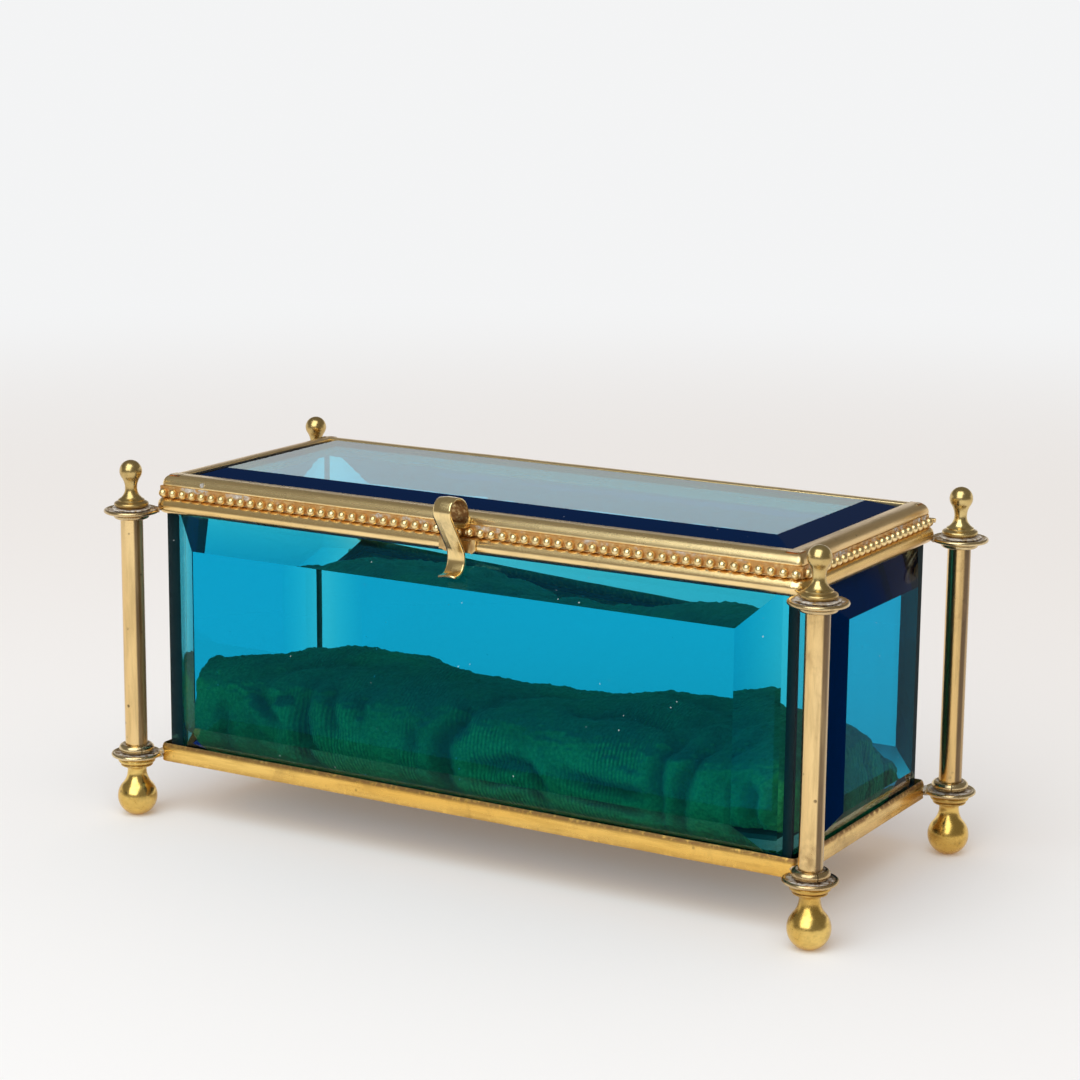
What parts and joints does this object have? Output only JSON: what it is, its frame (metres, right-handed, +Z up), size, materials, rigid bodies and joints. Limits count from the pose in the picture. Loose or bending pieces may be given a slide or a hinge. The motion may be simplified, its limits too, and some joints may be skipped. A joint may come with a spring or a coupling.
{
  "type": "glass casket box",
  "caption": "Blue bevelled-glass jewel casket with brass mouldings, corner columns on ball feet, beaded lid, spring clasp and green plush cushion.",
  "frame": {"origin": "on the table, under the middle of the casket", "axes": "+X along the front to the right, +Y to the back, +Z up"},
  "size_m": [0.2018, 0.0936, 0.0924],
  "materials": {
    "polished_brass": "polished, worn",
    "aged_brass": "aged, satin, with dark spots",
    "solder": "grey, tinned",
    "blue_glass": "polished",
    "board": "matt card",
    "plush": "ribbed plush"
  },
  "bodies": {
    "casket": {"ball_foot_front_left": "polished_brass", "ball_foot_front_right": "polished_brass", "ball_foot_back_left": "polished_brass", "ball_foot_back_right": "polished_brass", "lower_disc_front_left": "aged_brass", "lower_disc_front_right": "aged_brass", "lower_disc_back_left": "aged_brass", "lower_disc_back_right": "aged_brass", "column_tube_front_left": "aged_brass", "column_tube_front_right": "aged_brass", "column_tube_back_left": "aged_brass", "column_tube_back_right": "aged_brass", "upper_disc_front_left": "aged_brass", "upper_disc_front_right": "aged_brass", "upper_disc_back_left": "aged_brass", "upper_disc_back_right": "aged_brass", "finial_front_left": "polished_brass", "finial_front_right": "polished_brass", "finial_back_left": "polished_brass", "finial_back_right": "polished_brass", "lower_collars": "polished_brass", "upper_collars": "polished_brass", "tie_rods": "aged_brass", "finial_washers": "solder", "base_rail_front": "aged_brass", "base_rail_right": "aged_brass", "base_rail_back": "aged_brass", "base_rail_left": "aged_brass", "rim_rail_front": "aged_brass", "rim_rail_right": "aged_brass", "rim_rail_back": "aged_brass", "rim_rail_left": "aged_brass", "pane_front": "blue_glass", "pane_right": "blue_glass", "pane_back": "blue_glass", "pane_left": "blue_glass", "floor_glass": "blue_glass", "hinge_knuckles_body": "aged_brass", "hinge_pin": "aged_brass", "catch_plate": "aged_brass", "cushion_board": "board", "cushion": "plush"},
    "lid": {"lid_rail_front": "aged_brass", "lid_rail_right": "aged_brass", "lid_rail_back": "aged_brass", "lid_rail_left": "aged_brass", "lid_glass": "blue_glass", "bead_strip_front": "polished_brass", "bead_strip_right": "polished_brass", "bead_strip_left": "polished_brass", "hinge_knuckles_lid": "aged_brass", "clasp_seat": "aged_brass", "lid_rivet": "solder"},
    "clasp": {"clasp": "polished_brass"}
  },
  "joints": [
    {"name": "lid_hinge", "type": "hinge", "parent": "casket", "child": "lid", "pos_m": [0, 0.0363, 0.0833], "axis": [-1, 0, 0], "range_deg": [0, 100]},
    {"name": "clasp_flex", "type": "hinge", "parent": "lid", "child": "clasp", "pos_m": [0.0008, -0.0384, 0.087], "axis": [-1, 0, 0], "range_deg": [0, 10], "stiffness_Nm_per_rad": 0.02}
  ]
}
